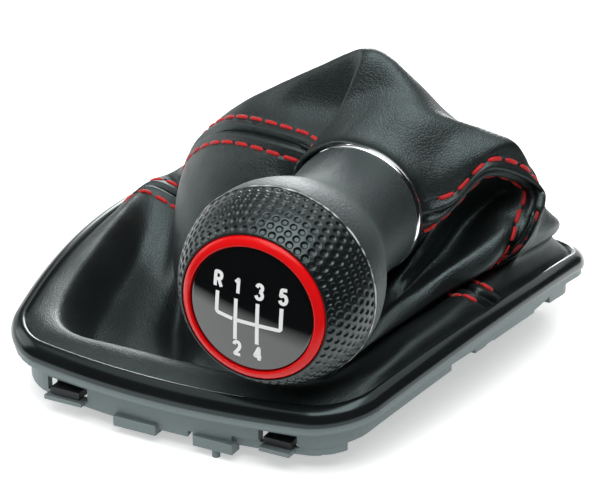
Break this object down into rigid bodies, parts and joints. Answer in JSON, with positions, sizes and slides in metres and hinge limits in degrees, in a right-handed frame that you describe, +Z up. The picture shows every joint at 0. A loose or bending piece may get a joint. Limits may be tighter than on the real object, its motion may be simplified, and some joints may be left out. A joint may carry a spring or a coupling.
{
  "type": "gear shift knob",
  "caption": "Ball-shaped gear shift knob with a dimpled grip and shift pattern cap, on a stitched leather gaiter clamped in a clip-in console frame.",
  "frame": {"origin": "middle of the frame in plan, on the level where the locating pegs under the skirt end", "axes": "+Z up, +Y from the near edge of the frame to the far edge, +X to the right seen from the near edge; the knob lies forward over the near edge"},
  "size_m": [0.14, 0.1489, 0.0904],
  "materials": {
    "satin_plastic": "satin moulded, slightly green grey",
    "gloss_black": "high gloss",
    "inner_plastic": "moulded black",
    "leather": "fine-grained black leather",
    "chrome": "mirror bright",
    "soft_grip": "soft-touch, fine grain and round dimples",
    "red_gloss": "glossy red",
    "bush_plastic": "unfilled grey nylon",
    "clamp_steel": "plain zinc-plated band"
  },
  "bodies": {
    "root": {"carrier_frame": "satin_plastic", "trim_bead": "gloss_black", "hem_retainer": "inner_plastic", "gaiter_front": "leather", "gaiter_rear": "leather", "gaiter_collar": "inner_plastic", "chrome_ring": "chrome", "neck_cover": "soft_grip", "dimpled_grip": "soft_grip", "knob_core": "inner_plastic", "lever_bush": "bush_plastic", "lever_clamp": "clamp_steel", "accent_ring": "red_gloss", "cap_plate": "gloss_black"}
  },
  "joints": []
}
